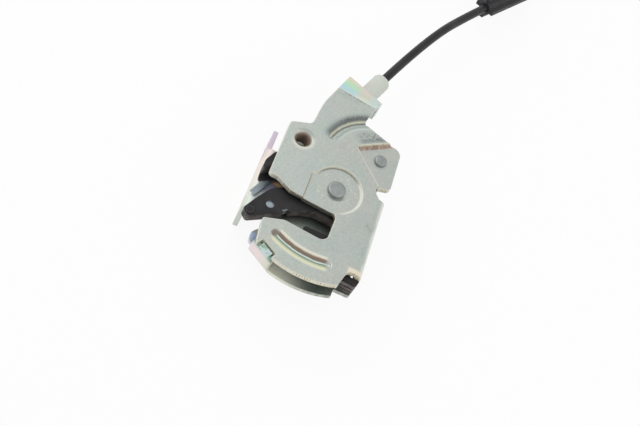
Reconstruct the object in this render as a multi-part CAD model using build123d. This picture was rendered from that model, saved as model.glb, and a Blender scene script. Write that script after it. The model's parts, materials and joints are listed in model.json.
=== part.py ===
from build123d import *
from math import atan2, cos, degrees, pi, radians, sin, tan
import os

# Rotary door latch with a Bowden release cable.  Millimetres.
# It is drawn about the fork's pivot: X along the mouth towards its closed end,
# Y up the plate towards the cable, Z = 0 on the front face of the front plate.
# The pieces are moved together at the end, so that the origin is under the
# middle of the latch, on the surface that its mounting flange stands on.

# ---------------------------------------------------------------- front plate
plate_t = 3.0
plate_left = -33.1
plate_top = 25.2
arc_r = 50.4              # lower edge of both plates
arc_x, arc_y = -0.9, -0.6
mouth_end = 4.3           # closed end of the mouth
mouth_high = -12.9        # its upper edge there
mouth_low = -29.4         # its lower edge there
jaw_left = -27.4
side_x = 24.5             # outer face of the right-hand flange at its top
side_lean = 1.4           # how much further out its lower end stands
side_top, side_bottom = 4.9, -38.4
side_bend_r = 3.8
side_depth = 8.0
ear_right = 24.7
ear_top = 38.2

thread_x, thread_y = -24.1, 18.8
thread_core_r = 3.4       # M8
thread_rim = 1.3          # rolled rim of the drawn hole
collar_r = 5.4
collar_length = 5.4       # behind the plate

hub_seat_r = 12.9         # pressed seat round the fork rivet
hub_seat_depth = 0.9
hub_seat_left = -13.8
ear_seat_depth = 2.2      # pressed seat round the pawl rivet
seat_slope = 25.0
bead_r = 2.3              # section of the pressed beads
bead_depth = 1.3
rail_r = 40.8             # lower bead, a rail for the fork
rail_start, rail_end = 241.5, 281.8
arm_bead_x, arm_bead_y, arm_bead_r = 12.5, 21.0, 25.0
arm_bead_start, arm_bead_end = 115.0, 165.0

# ------------------------------------------------------------- cable bracket
cable_lean = 20.1         # cable axis, degrees from +Y towards +X
cable_across = -24.4      # its distance from the fork pivot
cable_z = -8.2
tab_face = 59.4           # outer face of the tab along the cable
tab_left, tab_right = -36.1, -15.1
tab_bend_r = 5.0
tab_depth = 15.0

# ------------------------------------------------------- back plate and flange
back_t = 2.4
plate_gap = 9.0           # clear space between the plates
flange_face = -38.0
flange_bend_r = 3.4
flange_low, flange_high = -22.0, 26.5
flange_join = 13.6        # above this the flange stands clear of the plate
flange_reach = 33.0       # from the front face to its free edge
flange_hole_r = 3.25
flange_hole_pitch = 30.0
flange_hole_mid = 0.8
flange_hole_depth = 22.0
relief_end = -19.5        # closed end of the back plate's mouth relief
relief_low, relief_high = -31.0, -22.0
back_jaw_left = -29.3
back_lobe_right = 16.6
back_right = 20.2
back_foot = -43.9
back_top = 38.0

wall_normal = 239.3       # direction that the lower-left wall faces
wall_proud = 0.6          # how far it stands beyond the plates' lower edge
wall_left, wall_right = -1.6, 11.4
wall_bend_r = 3.4
key_left, key_right = 2.8, 9.2          # its key in the front plate's notch
key_t = 2.2
notch_left, notch_right = 1.2, 10.4
notch_play = 1.0

# ---------------------------------------------------------------- fit
fit_gap = 0.05            # running fit on the radius
side_gap = 0.3            # between faces that pass each other

# ---------------------------------------------------------------- fork
fork_pin_r = 4.0
fork_head_r = 4.5
fork_head_h = 1.6
fork_bush_t = 2.0
fork_washer_r = 9.4
fork_core_t = 3.8
fork_cover_t = 5.6
fork_cover_top = -4.3
cover_skin = 1.3
fork_hub_r = 10.0
fork_rim_r = 12.2         # top of the catch shoulder
cover_hole_r = 12.7       # the cover leaves the hub bare
shoulder_angle = 117.0    # its face, fork closed
rim_end = 215.0
fork_swing = 22.0
window_r = 2.1
window_x, window_y = -26.5, -20.2
boss_r, boss_h = 2.35, 0.4
boss_x, boss_y = -34.3, -27.6

# ---------------------------------------------------------------- pawl
pawl_x, pawl_y = 15.3, 27.2
pawl_pin_r = 3.0
pawl_head_r = 3.15
pawl_head_h = 1.4
pawl_bush_t = 1.3
pawl_t = 3.8
pawl_top = -5.6
pawl_hub_r = 7.0
nose_r = 10.4
nose_gap = 7.2            # degrees between nose and shoulder
hook_arm = 29.8           # cable pocket from the pawl pivot
hook_wall = 2.4

# ---------------------------------------------------------------- cable
cord_r = 2.3
wire_r = 0.75
nipple_r, nipple_h = 2.5, 6.2
nipple_play = 0.6
wire_room = 14.0          # open end of the sheath, where the wire slides in
wire_slot = 2.8
ferrule_r = 4.75
ferrule_neck_r = 3.5
ferrule_dome = 15.6       # from the tab's face to the domed end
ferrule_inner = 5.0
cord_depth_in_ferrule = 5.0
sleeve_r, sleeve_fin, sleeve_core_r = 6.0, 2.4, 3.6
sleeve_start, sleeve_length = 9.0, 38.0
coil_r = 25.3             # 11 cord diameters across at mid turns
coil_x, coil_y = 62.0, 254.0
coil_layers = 2
far_tail = 31.0
far_wire_length = 26.0
straight_run = 46.0       # the cable's first run, on the ferrule's axis
# further corners of its path to the coil, x, y, z
route = [(38.0, 157.0, -15.5), (66.0, 203.0, -26.0), (87.3, 229.0, -30.2)]

# ---------------------------------------------------------------- stops, springs
buffer_top = -4.0
buffer_left, buffer_right = 10.5, 25.9
buffer_low, buffer_high = -42.7, -38.4
bumper_top, bumper_bottom = -3.4, -10.5
bumper_lip = -10.2        # seating lip, behind the fork
bumper_pin_r = 2.6
fork_wire_r, fork_coil_r = 0.65, 8.0
pawl_wire_r, pawl_coil_r = 0.5, 5.4

# derived
wall_face = arc_r + wall_proud
notch_edge = wall_face - key_t - notch_play
back_face = -plate_t - plate_gap
back_rear = back_face - back_t
fork_core_top = fork_cover_top - (fork_cover_t - fork_core_t) / 2
floor = -flange_reach
along = Vector(sin(radians(cable_lean)), cos(radians(cable_lean)), 0)
across = Vector(cos(radians(cable_lean)), -sin(radians(cable_lean)), 0)
hook_angle = 180 - cable_lean + fork_swing / 2
DOWN = (0, 0, -1)


def polar(radius, angle, x=0.0, y=0.0):
    """Point at an angle in degrees about (x, y)."""
    return (x + radius * cos(radians(angle)), y + radius * sin(radians(angle)))


def outline(points):
    """Face inside a closed outline of (x, y, corner radius)."""
    corners = [(x, y) for x, y, _ in points]
    return make_face(FilletPolyline(*corners, radius=[r for _, _, r in points], close=True))


def slab(face, top, thickness, taper=0.0):
    """Solid below a flat face that lies at level top."""
    return extrude(Pos(0, 0, top) * face, amount=thickness, dir=DOWN, taper=taper)


def disc(radius, x, y, top, thickness):
    return slab(Pos(x, y) * Circle(radius), top, thickness)


def ring(outer, inner, x, y, top, thickness):
    return slab(Pos(x, y) * (Circle(outer) - Circle(inner)), top, thickness)


def plate_bend(start, run, outwards, level, radius, thickness, depth, length):
    """Flange bent through a right angle, run long, its outer face at start."""
    frame = Plane(origin=(start.X, start.Y, level), x_dir=outwards, z_dir=run)
    inner = radius - thickness
    with BuildLine() as profile:
        Line((-radius, 0), (-radius, thickness))
        RadiusArc((-radius, thickness), (-thickness, radius), -inner)
        Line((-thickness, radius), (-thickness, depth))
        Line((-thickness, depth), (0, depth))
        Line((0, depth), (0, radius))
        RadiusArc((0, radius), (-radius, 0), radius)
    return extrude(frame * make_face(profile.line), amount=length)


def bead(x, y, radius, start, end, level):
    """Round-bottomed groove bead_depth deep below level."""
    lift = level + bead_r - bead_depth
    path = CenterArc((x, y, lift), radius, start, end - start)
    solid = sweep(Plane(path @ 0, z_dir=path % 0) * Circle(bead_r), path=path)
    for tip in (path @ 0, path @ 1):
        solid += Pos(*tip) * Sphere(bead_r)
    return solid


def below(level):
    return Pos(0, 0, level - 50) * Box(300, 300, 100)


def cable_point(distance, level=cable_z):
    return along * distance + across * cable_across + Vector(0, 0, level)


# ------------------------------------------------------------------ front plate
def arc_limit():
    """Everything above the round lower edge of the plates."""
    return Pos(arc_x, arc_y) * Circle(arc_r) + Pos(0, 40) * Rectangle(160, 120)


def front_outline():
    bend_line = tab_face - tab_bend_r
    tab_l = along * bend_line + across * tab_left
    tab_r = along * bend_line + across * tab_right
    return outline([
        (plate_left, plate_top, 2.5), (plate_left, -7.0, 2.2), (-28.0, -7.3, 3.0), (-20.2, -11.3, 8.0),
        (mouth_end, mouth_high, 3.2), (mouth_end, mouth_low, 4.0), (-17.6, -27.6, 5.0),
        (jaw_left, -31.0, 1.2), (jaw_left, -34.0, 4.0), (-26.2, -43.0, 0.6), (-20.0, -60.0, 0),
        (16.0, -60.0, 0), (16.4, -47.0, 1.6), (18.6, -38.8, 2.2),
        (side_x + side_lean - side_bend_r, side_bottom, 0), (side_x - side_bend_r, side_top, 0),
        (18.4, 7.4, 1.2), (17.3, 11.7, 0.9), (ear_right, 13.8, 2.0), (ear_right - 1.1, ear_top, 4.5),
        (14.6, ear_top, 4.0), (1.3, 42.4, 3.0), (1.6, 46.5, 8.0),
        (tab_r.X, tab_r.Y, 0), (tab_l.X, tab_l.Y, 0), (-21.6, 44.0, 30.0),
        (-22.9, 29.2, 3.0),
    ])


def ear_seat_face():
    return outline([(1.5, 28.5, 1.2), (24.0, 43.6, 0), (50.0, 43.0, 0), (50.0, 3.0, 0), (26.6, 4.0, 0)])


def side_flange():
    low = Vector(side_x + side_lean, side_bottom, 0)
    run = Vector(side_x, side_top, 0) - low
    outwards = run.cross(Vector(0, 0, 1)).normalized()
    return plate_bend(low, run.normalized(), outwards, 0, side_bend_r, plate_t, side_depth, run.length)


def front_plate():
    base = front_outline() & arc_limit()
    corner = Pos(hub_seat_left / 2, hub_seat_left / 2 + 2) * Rectangle(-hub_seat_left, 4 - hub_seat_left)
    seat = Pos(0.2, -0.3) * Circle(hub_seat_r) + corner
    rail = (0, 0, rail_r, rail_start, rail_end)
    arm = (arm_bead_x, arm_bead_y, arm_bead_r, arm_bead_start, arm_bead_end)
    plate = slab(base, 0, plate_t)
    inside = slab(base, -plate_t, 3.0)
    plate += slab(seat, -plate_t, hub_seat_depth, seat_slope) & inside
    plate += slab(ear_seat_face(), -plate_t, ear_seat_depth, seat_slope) & inside
    for groove in (rail, arm):
        plate += bead(*groove, -plate_t) & inside
    for groove in (rail, arm):
        plate -= bead(*groove, 0)
    plate -= slab(seat, 0, hub_seat_depth, seat_slope)
    plate -= slab(ear_seat_face(), 0, ear_seat_depth, seat_slope)
    plate += side_flange()
    right = cable_point(tab_face, 0) + across * (tab_right - cable_across)
    plate += plate_bend(right, -across, along, 0, tab_bend_r, plate_t, tab_depth, tab_right - tab_left)
    plate += disc(collar_r, thread_x, thread_y, -plate_t, collar_length)
    plate -= disc(thread_core_r, thread_x, thread_y, 1, 12)
    plate -= Pos(thread_x, thread_y, -thread_rim / 2) * Cone(thread_core_r, thread_core_r + thread_rim, thread_rim)
    plate -= disc(fork_pin_r, 0, 0, 1, 8)
    plate -= disc(pawl_pin_r, pawl_x, pawl_y, 1, 8)
    key = Rot(0, 0, wall_normal) * Pos(notch_edge + 10, (notch_left + notch_right) / 2)
    plate -= slab(key * Rectangle(20, notch_right - notch_left), 1, 5)
    seat_hole = Plane(cable_point(tab_face), z_dir=along) * Cylinder(ferrule_neck_r, 4 * plate_t)
    return plate - seat_hole


# ------------------------------------------------------------------- back plate
def back_outline():
    left = flange_face + flange_bend_r
    return outline([
        (left, flange_join, 0), (-29.5, 19.5, 3.0), (-22.5, 36.8, 4.0), (-14.0, back_top, 6.0),
        (9.0, back_top, 6.0), (back_right - 1.0, 35.0, 5.0), (back_right, 27.0, 3.0), (back_right, 12.0, 3.0),
        (22.4, 4.0, 6.0), (22.4, -36.0, 4.0), (25.4, -40.6, 1.0), (24.8, back_foot, 1.0),
        (back_lobe_right, back_foot, 0.8), (back_lobe_right, -48.0, 1.0), (14.0, -60.0, 0),
        (-16.0, -60.0, 0), (-27.0, -43.6, 0), (-28.3, -41.6, 1.0), (back_jaw_left, -34.0, 3.0),
        (-27.0, relief_low, 1.5), (relief_end, relief_low, 4.4), (relief_end, relief_high, 4.4),
        (left, relief_high, 0),
    ])


def lower_wall():
    """Wall bent forwards to the front plate, with a key that locates it."""
    direction = Vector(*polar(1, wall_normal), 0)
    side = Vector(*polar(1, wall_normal + 90), 0)
    depth = -plate_t - back_rear
    start = direction * wall_face + side * wall_right
    wall = plate_bend(
        start, -side, direction, back_rear, wall_bend_r, back_t, depth, wall_right - wall_left)
    middle = direction * (wall_face - key_t / 2) + side * (key_left + key_right) / 2
    key = Rot(0, 0, wall_normal) * Box(key_t, key_right - key_left, plate_t - 0.2)
    return wall + Pos(middle.X, middle.Y, -plate_t / 2 - 0.1) * key


def back_plate():
    plate = slab(back_outline() & arc_limit(), back_face, back_t)
    direction = Rot(0, 0, wall_normal)
    beyond = Pos(wall_face - wall_bend_r + 20, (wall_left + wall_right) / 2 - 8)
    plate -= slab(direction * beyond * Rectangle(40, wall_right - wall_left + 16), back_face + 1, back_t + 2)
    plate += plate_bend(
        Vector(flange_face, flange_high, 0), Vector(0, -1, 0), Vector(-1, 0, 0), back_face,
        flange_bend_r, back_t, flange_reach + back_face, flange_high - flange_low)
    clear = flange_high - flange_join
    plate -= Pos(flange_face, flange_join + clear / 2, back_face) * Box(20, clear, 2 * flange_bend_r)
    plate += lower_wall()
    for side in (-0.5, 0.5):
        y = flange_hole_mid + side * flange_hole_pitch
        plate -= Pos(flange_face, y, -flange_hole_depth) * Rot(0, 90, 0) * Cylinder(flange_hole_r, 20)
    plate -= disc(fork_pin_r, 0, 0, back_face + 1, 6)
    plate -= disc(pawl_pin_r, pawl_x, pawl_y, back_face + 1, 6)
    bumper_pin = disc(bumper_pin_r, *bumper_middle(), back_face + 1, 6)
    return plate - bumper_pin


# ----------------------------------------------------------------- rivets, bushes
def rivet(x, y, radius, head_r, head_h, head_level):
    tail = 1.4
    pin = disc(radius, x, y, head_level, head_level - back_rear)
    head = disc(head_r, x, y, head_level + head_h, head_h)
    head = fillet(head.faces().sort_by(Axis.Z)[-1].edges(), head_h * 0.55)
    foot = disc(head_r + 1.5, x, y, back_rear, tail)
    foot = fillet(foot.faces().sort_by(Axis.Z)[0].edges(), tail * 0.6)
    return pin + head + foot


# ------------------------------------------------------------------------ fork
def fork_arms():
    """Outline of the covered arms, closed on the striker."""
    return outline([
        (-37.5, -28.0, 1.6), (-33.4, -19.7, 12.0), (-29.3, -12.6, 6.0), (-15.5, -3.4, 6.0),
        (-9.0, 4.0, 0), (9.0, 4.0, 0), (15.6, -9.0, 9.0), (9.0, -44.6, 2.5), (-1.5, -46.9, 15.0),
        (-11.0, -44.4, 2.5), (-7.6, -23.2, 1.6), (7.0, -23.2, 4.0), (6.4, -14.8, 3.9),
        (-5.5, -14.2, 3.0), (-12.5, -16.6, 12.0), (-19.6, -21.8, 8.0), (-28.2, -27.4, 10.0),
        (-34.2, -31.2, 1.6),
    ])


def fork_notch():
    """Small gap in the cover on the inner edge of the leading arm."""
    return Pos(-18.3, -20.2) * Rot(0, 0, 45) * Rectangle(3.4, 2.6)


def catch_sector():
    start, sweep_angle = shoulder_angle, rim_end - shoulder_angle
    with BuildLine() as edge:
        Line((0, 0), polar(fork_rim_r, start))
        CenterArc((0, 0), fork_rim_r, start, sweep_angle)
        Line(polar(fork_rim_r, start + sweep_angle), (0, 0))
    return make_face(edge.line)


def covered_core():
    """The steel inside the cover, one skin smaller all round."""
    return slab(offset(fork_arms(), -cover_skin), fork_core_top, fork_core_t)


def fork_core():
    core = slab(Circle(fork_hub_r) + catch_sector(), fork_core_top, fork_core_t) + covered_core()
    return core - disc(fork_pin_r + fork_bush_t + fit_gap, 0, 0, 0, 20)


def fork_cover():
    cover = slab(fork_arms(), fork_cover_top, fork_cover_t)
    cover += disc(boss_r, boss_x, boss_y, fork_cover_top + boss_h, boss_h)
    cover -= slab(fork_notch(), 0, 20)
    cover -= disc(window_r, window_x, window_y, 0, -fork_core_top)
    cover -= covered_core()
    return cover - disc(cover_hole_r, 0, 0, 0, 20)


# ------------------------------------------------------------------------ pawl
def hook_point():
    x, y = polar(hook_arm, hook_angle, pawl_x, pawl_y)
    return Vector(x, y, 0)


def nipple_point():
    """Nipple centre, between the extremes of the pocket's arc."""
    rise = hook_arm * (1 - cos(radians(fork_swing / 2)))
    distance = hook_point().dot(along)
    return along * distance + across * (hook_point().dot(across) - rise / 2)


def pawl():
    hook = hook_point()
    pocket_r = nipple_r + nipple_play
    outer = pocket_r + hook_wall
    nose = polar(nose_r, shoulder_angle - nose_gap)
    shank = polar(18.5, shoulder_angle - nose_gap + 1.5)
    lever = outline([
        (pawl_x - 1.5, pawl_y + pawl_hub_r, 3.0), (hook.X + 2.0, hook.Y + outer - 0.4, 3.0),
        (hook.X - 3.5, hook.Y - 2.5, 2.0), (shank[0] - 3.5, shank[1] + 5.5, 5.0),
        (shank[0], shank[1], 4.0), (nose[0], nose[1], 0.5), (2.4, 11.4, 3.0),
        (pawl_x - 4.5, pawl_y - 6.5, 4.0), (pawl_x + 2.0, pawl_y, 0),
    ])
    face = lever + Pos(pawl_x, pawl_y) * Circle(pawl_hub_r) + Pos(hook.X, hook.Y) * Circle(outer)
    body = slab(face, pawl_top, pawl_t)
    body -= disc(pawl_pin_r + pawl_bush_t + fit_gap, pawl_x, pawl_y, 0, 20)
    body -= disc(pocket_r, hook.X, hook.Y, 0, 20)
    lean = 90 - cable_lean
    for turn in (0.0, fork_swing / 2, fork_swing):
        slot = Rot(0, 0, lean + turn) * Pos(10, 0) * Rectangle(20, wire_slot)
        body -= slab(Pos(hook.X, hook.Y) * slot, 0, 20)
    return body


# ----------------------------------------------------------------------- cable
def along_cylinder(start, end, radius):
    """Round bar on the cable axis, between two distances."""
    return extrude(Plane(cable_point(start), z_dir=along) * Circle(radius), amount=end - start)


def ferrule():
    dome = tab_face + ferrule_dome
    body = along_cylinder(tab_face, dome, ferrule_r)
    body = fillet(body.edges().sort_by(lambda e: e.center().dot(along))[-1], 2.3)
    body += along_cylinder(tab_face - plate_t - ferrule_inner, tab_face, ferrule_neck_r)
    body += along_cylinder(tab_face - plate_t - ferrule_inner, tab_face - plate_t - 3.8, ferrule_neck_r + 0.4)
    body -= along_cylinder(0, 120, wire_r + side_gap)
    return body - along_cylinder(dome - cord_depth_in_ferrule, 120, cord_r)


def route_points():
    root = tab_face + ferrule_dome - cord_depth_in_ferrule
    start, first = cable_point(root), cable_point(root + straight_run)
    end = Vector(coil_x + coil_r, coil_y, floor + cord_r)
    return [start, first] + [Vector(*p) for p in route] + [end]


def route_radii(points):
    """A large tangent arc for each corner, small enough to leave the sleeve straight."""
    radii = []
    for i in range(1, len(points) - 1):
        before, after = points[i] - points[i - 1], points[i + 1] - points[i]
        half = radians(before.get_angle(after)) / 2
        share = 0.16 if i in (2, 3) else 0.45
        radii.append(share * min(before.length, after.length) / tan(half))
    print("cable corner radii:", [round(r, 1) for r in radii], "mm, cord diameter", 2 * cord_r)
    return radii


def cable_outer():
    points = route_points()
    radii = [0] + route_radii(points) + [0]
    path = FilletPolyline(*points, radius=radii[1:-1])
    tube = sweep(Plane(path @ 0, z_dir=path % 0) * Circle(cord_r), path=path)
    root = tab_face + ferrule_dome - cord_depth_in_ferrule
    return tube - along_cylinder(root - 1, root + wire_room, wire_r + side_gap)


def cable_sleeve():
    low, high = route_points()[2:4]
    direction = (high - low).normalized()
    frame = Plane(low + direction * sleeve_start, x_dir=(1, 0, 0.05), z_dir=direction)
    star = Circle(sleeve_core_r) + Rectangle(2 * sleeve_r, sleeve_fin) + Rectangle(sleeve_fin, 2 * sleeve_r)
    return extrude(frame * (star - Circle(cord_r)), amount=sleeve_length)


def cable_coil():
    height = 2 * cord_r * coil_layers
    band = Pos(coil_x, coil_y, floor) * Cylinder(
        coil_r + 2 * cord_r, height, align=(Align.CENTER, Align.CENTER, Align.MIN))
    band = fillet(band.edges(), cord_r * 0.8)
    hole = Pos(coil_x, coil_y, floor) * Cylinder(coil_r - 2 * cord_r, 3 * height)
    return band - hole


def far_axis():
    """Start and direction of the tail that leaves the coil's upper layer."""
    start = Vector(coil_x, coil_y + coil_r, floor + 3 * cord_r)
    end = Vector(coil_x - far_tail - 12, coil_y + coil_r, floor + ferrule_r + 0.1)
    return start, (end - start).normalized()


def far_bar(start, end, radius):
    origin, direction = far_axis()
    return extrude(Plane(origin + direction * start, z_dir=direction) * Circle(radius), amount=end - start)


def far_ferrule():
    body = far_bar(far_tail - cord_depth_in_ferrule, far_tail + 10, ferrule_r)
    body = fillet(body.edges().sort_by(Axis.X)[-1], 2.0)
    body += far_bar(far_tail + 10, far_tail + 16, ferrule_neck_r)
    body -= far_bar(0, far_tail, cord_r)
    return body - far_bar(0, far_tail + 30, wire_r + side_gap)


def far_nipple():
    origin, direction = far_axis()
    middle = origin + direction * (far_tail + far_wire_length + nipple_r)
    return Pos(*middle) * Cylinder(nipple_r, nipple_h)


# ---------------------------------------------------------------- stops, springs
def bumper_middle():
    return (-30.0, 4.4)


def stop_bumper():
    face = outline([
        (-33.6, 8.0, 3.0), (-36.7, 1.0, 4.0), (-36.6, -4.4, 0.8), (-33.2, -0.9, 2.0),
        (-24.6, 1.4, 2.0), (-25.0, 8.6, 2.0),
    ])
    block = slab(face, bumper_top, bumper_top - bumper_bottom)
    lip = outline([
        (-34.0, 7.4, 3.0), (-36.6, -2.0, 4.0), (-36.2, -6.6, 1.2), (-33.4, -6.4, 1.2),
        (-26.0, -1.8, 2.0), (-25.4, 7.4, 2.0),
    ])
    block += slab(lip, bumper_lip, bumper_lip - back_face)
    return block + disc(bumper_pin_r, *bumper_middle(), bumper_bottom, bumper_bottom - back_rear)


def end_buffer():
    face = outline([
        (buffer_left, buffer_high, 0.8), (buffer_right, buffer_high - 0.5, 0.6),
        (buffer_right - 0.7, buffer_low + 0.8, 0.6), (buffer_right - 2.0, buffer_low - 0.2, 0.6),
        (17.8, buffer_low + 0.2, 0.5), (buffer_left, buffer_low + 1.2, 0.8),
    ])
    block = slab(face, buffer_top, buffer_top - back_face)
    for level in (-6.6, -9.4):
        block -= slab(Pos(22.0, buffer_low - 0.5) * Rotation(0, 0, -2) * Rectangle(12, 1.6), level, 0.7)
    return block


def torsion_spring(x, y, wire, radius, top, legs):
    """Two touching turns as one ring, and straight legs (angle, heading, length, layer)."""
    section = Plane.XZ * Pos(radius, -2 * wire) * RectangleRounded(2 * wire, 4 * wire, 0.9 * wire)
    solid = Pos(x, y, top) * revolve(section, axis=Axis.Z)
    for start, heading, length, layer in legs:
        foot = polar(radius, start, x, y)
        frame = Plane((foot[0], foot[1], top - (1 + 2 * layer) * wire), z_dir=(*polar(1, heading), 0))
        solid += extrude(frame * Circle(0.8 * wire), amount=length)
    return solid


# ---------------------------------------------------------------------- all
def make_parts():
    seat_back = -plate_t - hub_seat_depth
    ear_back = -plate_t - ear_seat_depth
    parts = {
        "front_plate": front_plate(),
        "back_plate": back_plate(),
        "fork_rivet": rivet(0, 0, fork_pin_r, fork_head_r, fork_head_h, -hub_seat_depth),
        "pawl_rivet": rivet(pawl_x, pawl_y, pawl_pin_r, pawl_head_r, pawl_head_h, -ear_seat_depth),
        "fork_bush": ring(fork_pin_r + fork_bush_t, fork_pin_r, 0, 0, seat_back, seat_back - back_face),
        "pawl_bush": ring(
            pawl_pin_r + pawl_bush_t, pawl_pin_r, pawl_x, pawl_y, ear_back, ear_back - back_face),
        "fork_washer": ring(
            fork_washer_r, fork_pin_r + fork_bush_t, 0, 0, seat_back, 0.9),
        "fork_core": fork_core(),
        "fork_cover": fork_cover(),
        "pawl": pawl(),
        "fork_spring": torsion_spring(
            0, 0, fork_wire_r, fork_coil_r, -9.3, [(90, 180, 24.0, 1), (270, 250, 3.9, 0)]),
        "pawl_spring": torsion_spring(
            pawl_x, pawl_y, pawl_wire_r, pawl_coil_r, -9.6, [(80, 190, 15.0, 0), (20, 262, 11.0, 1)]),
        "stop_bumper": stop_bumper(),
        "end_buffer": end_buffer(),
        "cable_ferrule": ferrule(),
        "cable_nipple": Pos(*nipple_point()) * Pos(0, 0, cable_z) * Cylinder(nipple_r, nipple_h),
        "cable_wire": along_cylinder(
            nipple_point().dot(along) + nipple_r * 0.9,
            tab_face + ferrule_dome - cord_depth_in_ferrule - 0.5, wire_r),
    }
    shift_x = nipple_point().dot(across) - cable_across
    parts["cable_nipple"] = Pos(*(across * -shift_x)) * parts["cable_nipple"]
    parts["cable_nipple"] -= parts["cable_wire"]
    cord = {
        "cable_outer": cable_outer(),
        "cable_sleeve": cable_sleeve(),
        "cable_coil": cable_coil(),
        "cable_tail": far_bar(0, far_tail, cord_r),
        "far_ferrule": far_ferrule(),
        "far_wire": far_bar(far_tail + 0.5, far_tail + far_wire_length, wire_r),
        "far_nipple": far_nipple(),
    }
    cord["far_nipple"] -= cord["far_wire"]
    return parts, cord


def main():
    parts, cord = make_parts()
    box = Compound(children=[s for p in parts.values() for s in p.solids()]).bounding_box()
    shift = Pos(-box.center().X, -box.center().Y, -box.min.Z)
    print("origin moved by", [round(v, 4) for v in shift.position])
    os.makedirs("parts", exist_ok=True)
    for name, solid in {**parts, **cord}.items():
        placed = shift * solid
        placed.label = name
        count = len(placed.solids())
        print(f"{name:14s} solids {count} volume {placed.volume / 1000:8.3f} cm3")
        export_step(placed, f"parts/{name}.step")


main()
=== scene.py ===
"""Visual model of a rotary door latch with a Bowden release cable.

The latch stands on the free edge of its mounting flange, with its front plate
on top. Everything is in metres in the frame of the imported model. Drawing
coordinates are millimetres about the fork's pivot, with Z = 0 on the front
face of the front plate.
"""

from __future__ import annotations

import json
import logging
import math
from dataclasses import dataclass
from enum import Enum
from functools import reduce

import bmesh
import bpy
from mathutils import Matrix, Vector

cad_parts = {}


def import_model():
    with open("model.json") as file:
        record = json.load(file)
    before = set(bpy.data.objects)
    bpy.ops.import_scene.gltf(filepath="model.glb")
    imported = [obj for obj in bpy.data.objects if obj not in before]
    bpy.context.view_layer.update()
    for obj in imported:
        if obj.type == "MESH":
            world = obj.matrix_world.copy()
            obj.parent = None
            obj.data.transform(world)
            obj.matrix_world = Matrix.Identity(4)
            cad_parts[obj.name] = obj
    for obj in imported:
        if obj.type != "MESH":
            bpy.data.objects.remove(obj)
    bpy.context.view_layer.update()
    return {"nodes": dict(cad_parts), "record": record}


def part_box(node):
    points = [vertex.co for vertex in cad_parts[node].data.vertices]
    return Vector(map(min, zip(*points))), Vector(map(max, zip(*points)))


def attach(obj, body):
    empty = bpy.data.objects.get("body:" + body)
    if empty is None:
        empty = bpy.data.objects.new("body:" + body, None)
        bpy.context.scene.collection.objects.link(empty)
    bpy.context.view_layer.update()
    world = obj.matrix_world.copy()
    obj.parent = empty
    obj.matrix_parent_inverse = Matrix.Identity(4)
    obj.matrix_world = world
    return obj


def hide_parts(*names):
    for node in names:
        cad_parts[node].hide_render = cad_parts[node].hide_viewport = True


LOG = logging.getLogger("latch")
MM = 0.001


class Slot(Enum):
    """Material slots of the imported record."""

    PLATE = "zinc_plate"
    BACK = "zinc_back"
    RIVET = "rivet_steel"
    BUSH = "bush"
    FORK = "fork_steel"
    COVER = "cover_plastic"
    PAWL = "pawl_steel"
    SPRING = "spring_steel"
    RUBBER = "rubber"
    NYLON = "nylon"
    SHEATH = "sheath"
    SLEEVE = "sleeve"
    WIRE = "wire"
    CAST = "zinc_cast"


def tone(red: int, green: int, blue: int) -> tuple:
    """Returns a linear colour for a display colour of 0 to 255."""
    values = (red / 255, green / 255, blue / 255)
    return tuple(v / 12.92 if v <= 0.04045 else ((v + 0.055) / 1.055) ** 2.4 for v in values)


def shades(*rows: tuple) -> tuple:
    """Returns (value, linear colour) stops for rows of value, red, green and blue."""
    return tuple((value, tone(*colour)) for value, *colour in rows)


class Drawing:
    """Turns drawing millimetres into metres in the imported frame."""

    def __init__(self) -> None:
        """Finds the fork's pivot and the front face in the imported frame."""
        low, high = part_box("fork_rivet")
        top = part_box("front_plate")[1].z
        self.origin = Vector(((low.x + high.x) / 2, (low.y + high.y) / 2, top))

    def point(self, x: float, y: float, z: float = 0.0) -> Vector:
        """Returns the frame point, in metres, of a drawing point in millimetres."""
        return self.origin + Vector((x, y, z)) * MM


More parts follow.
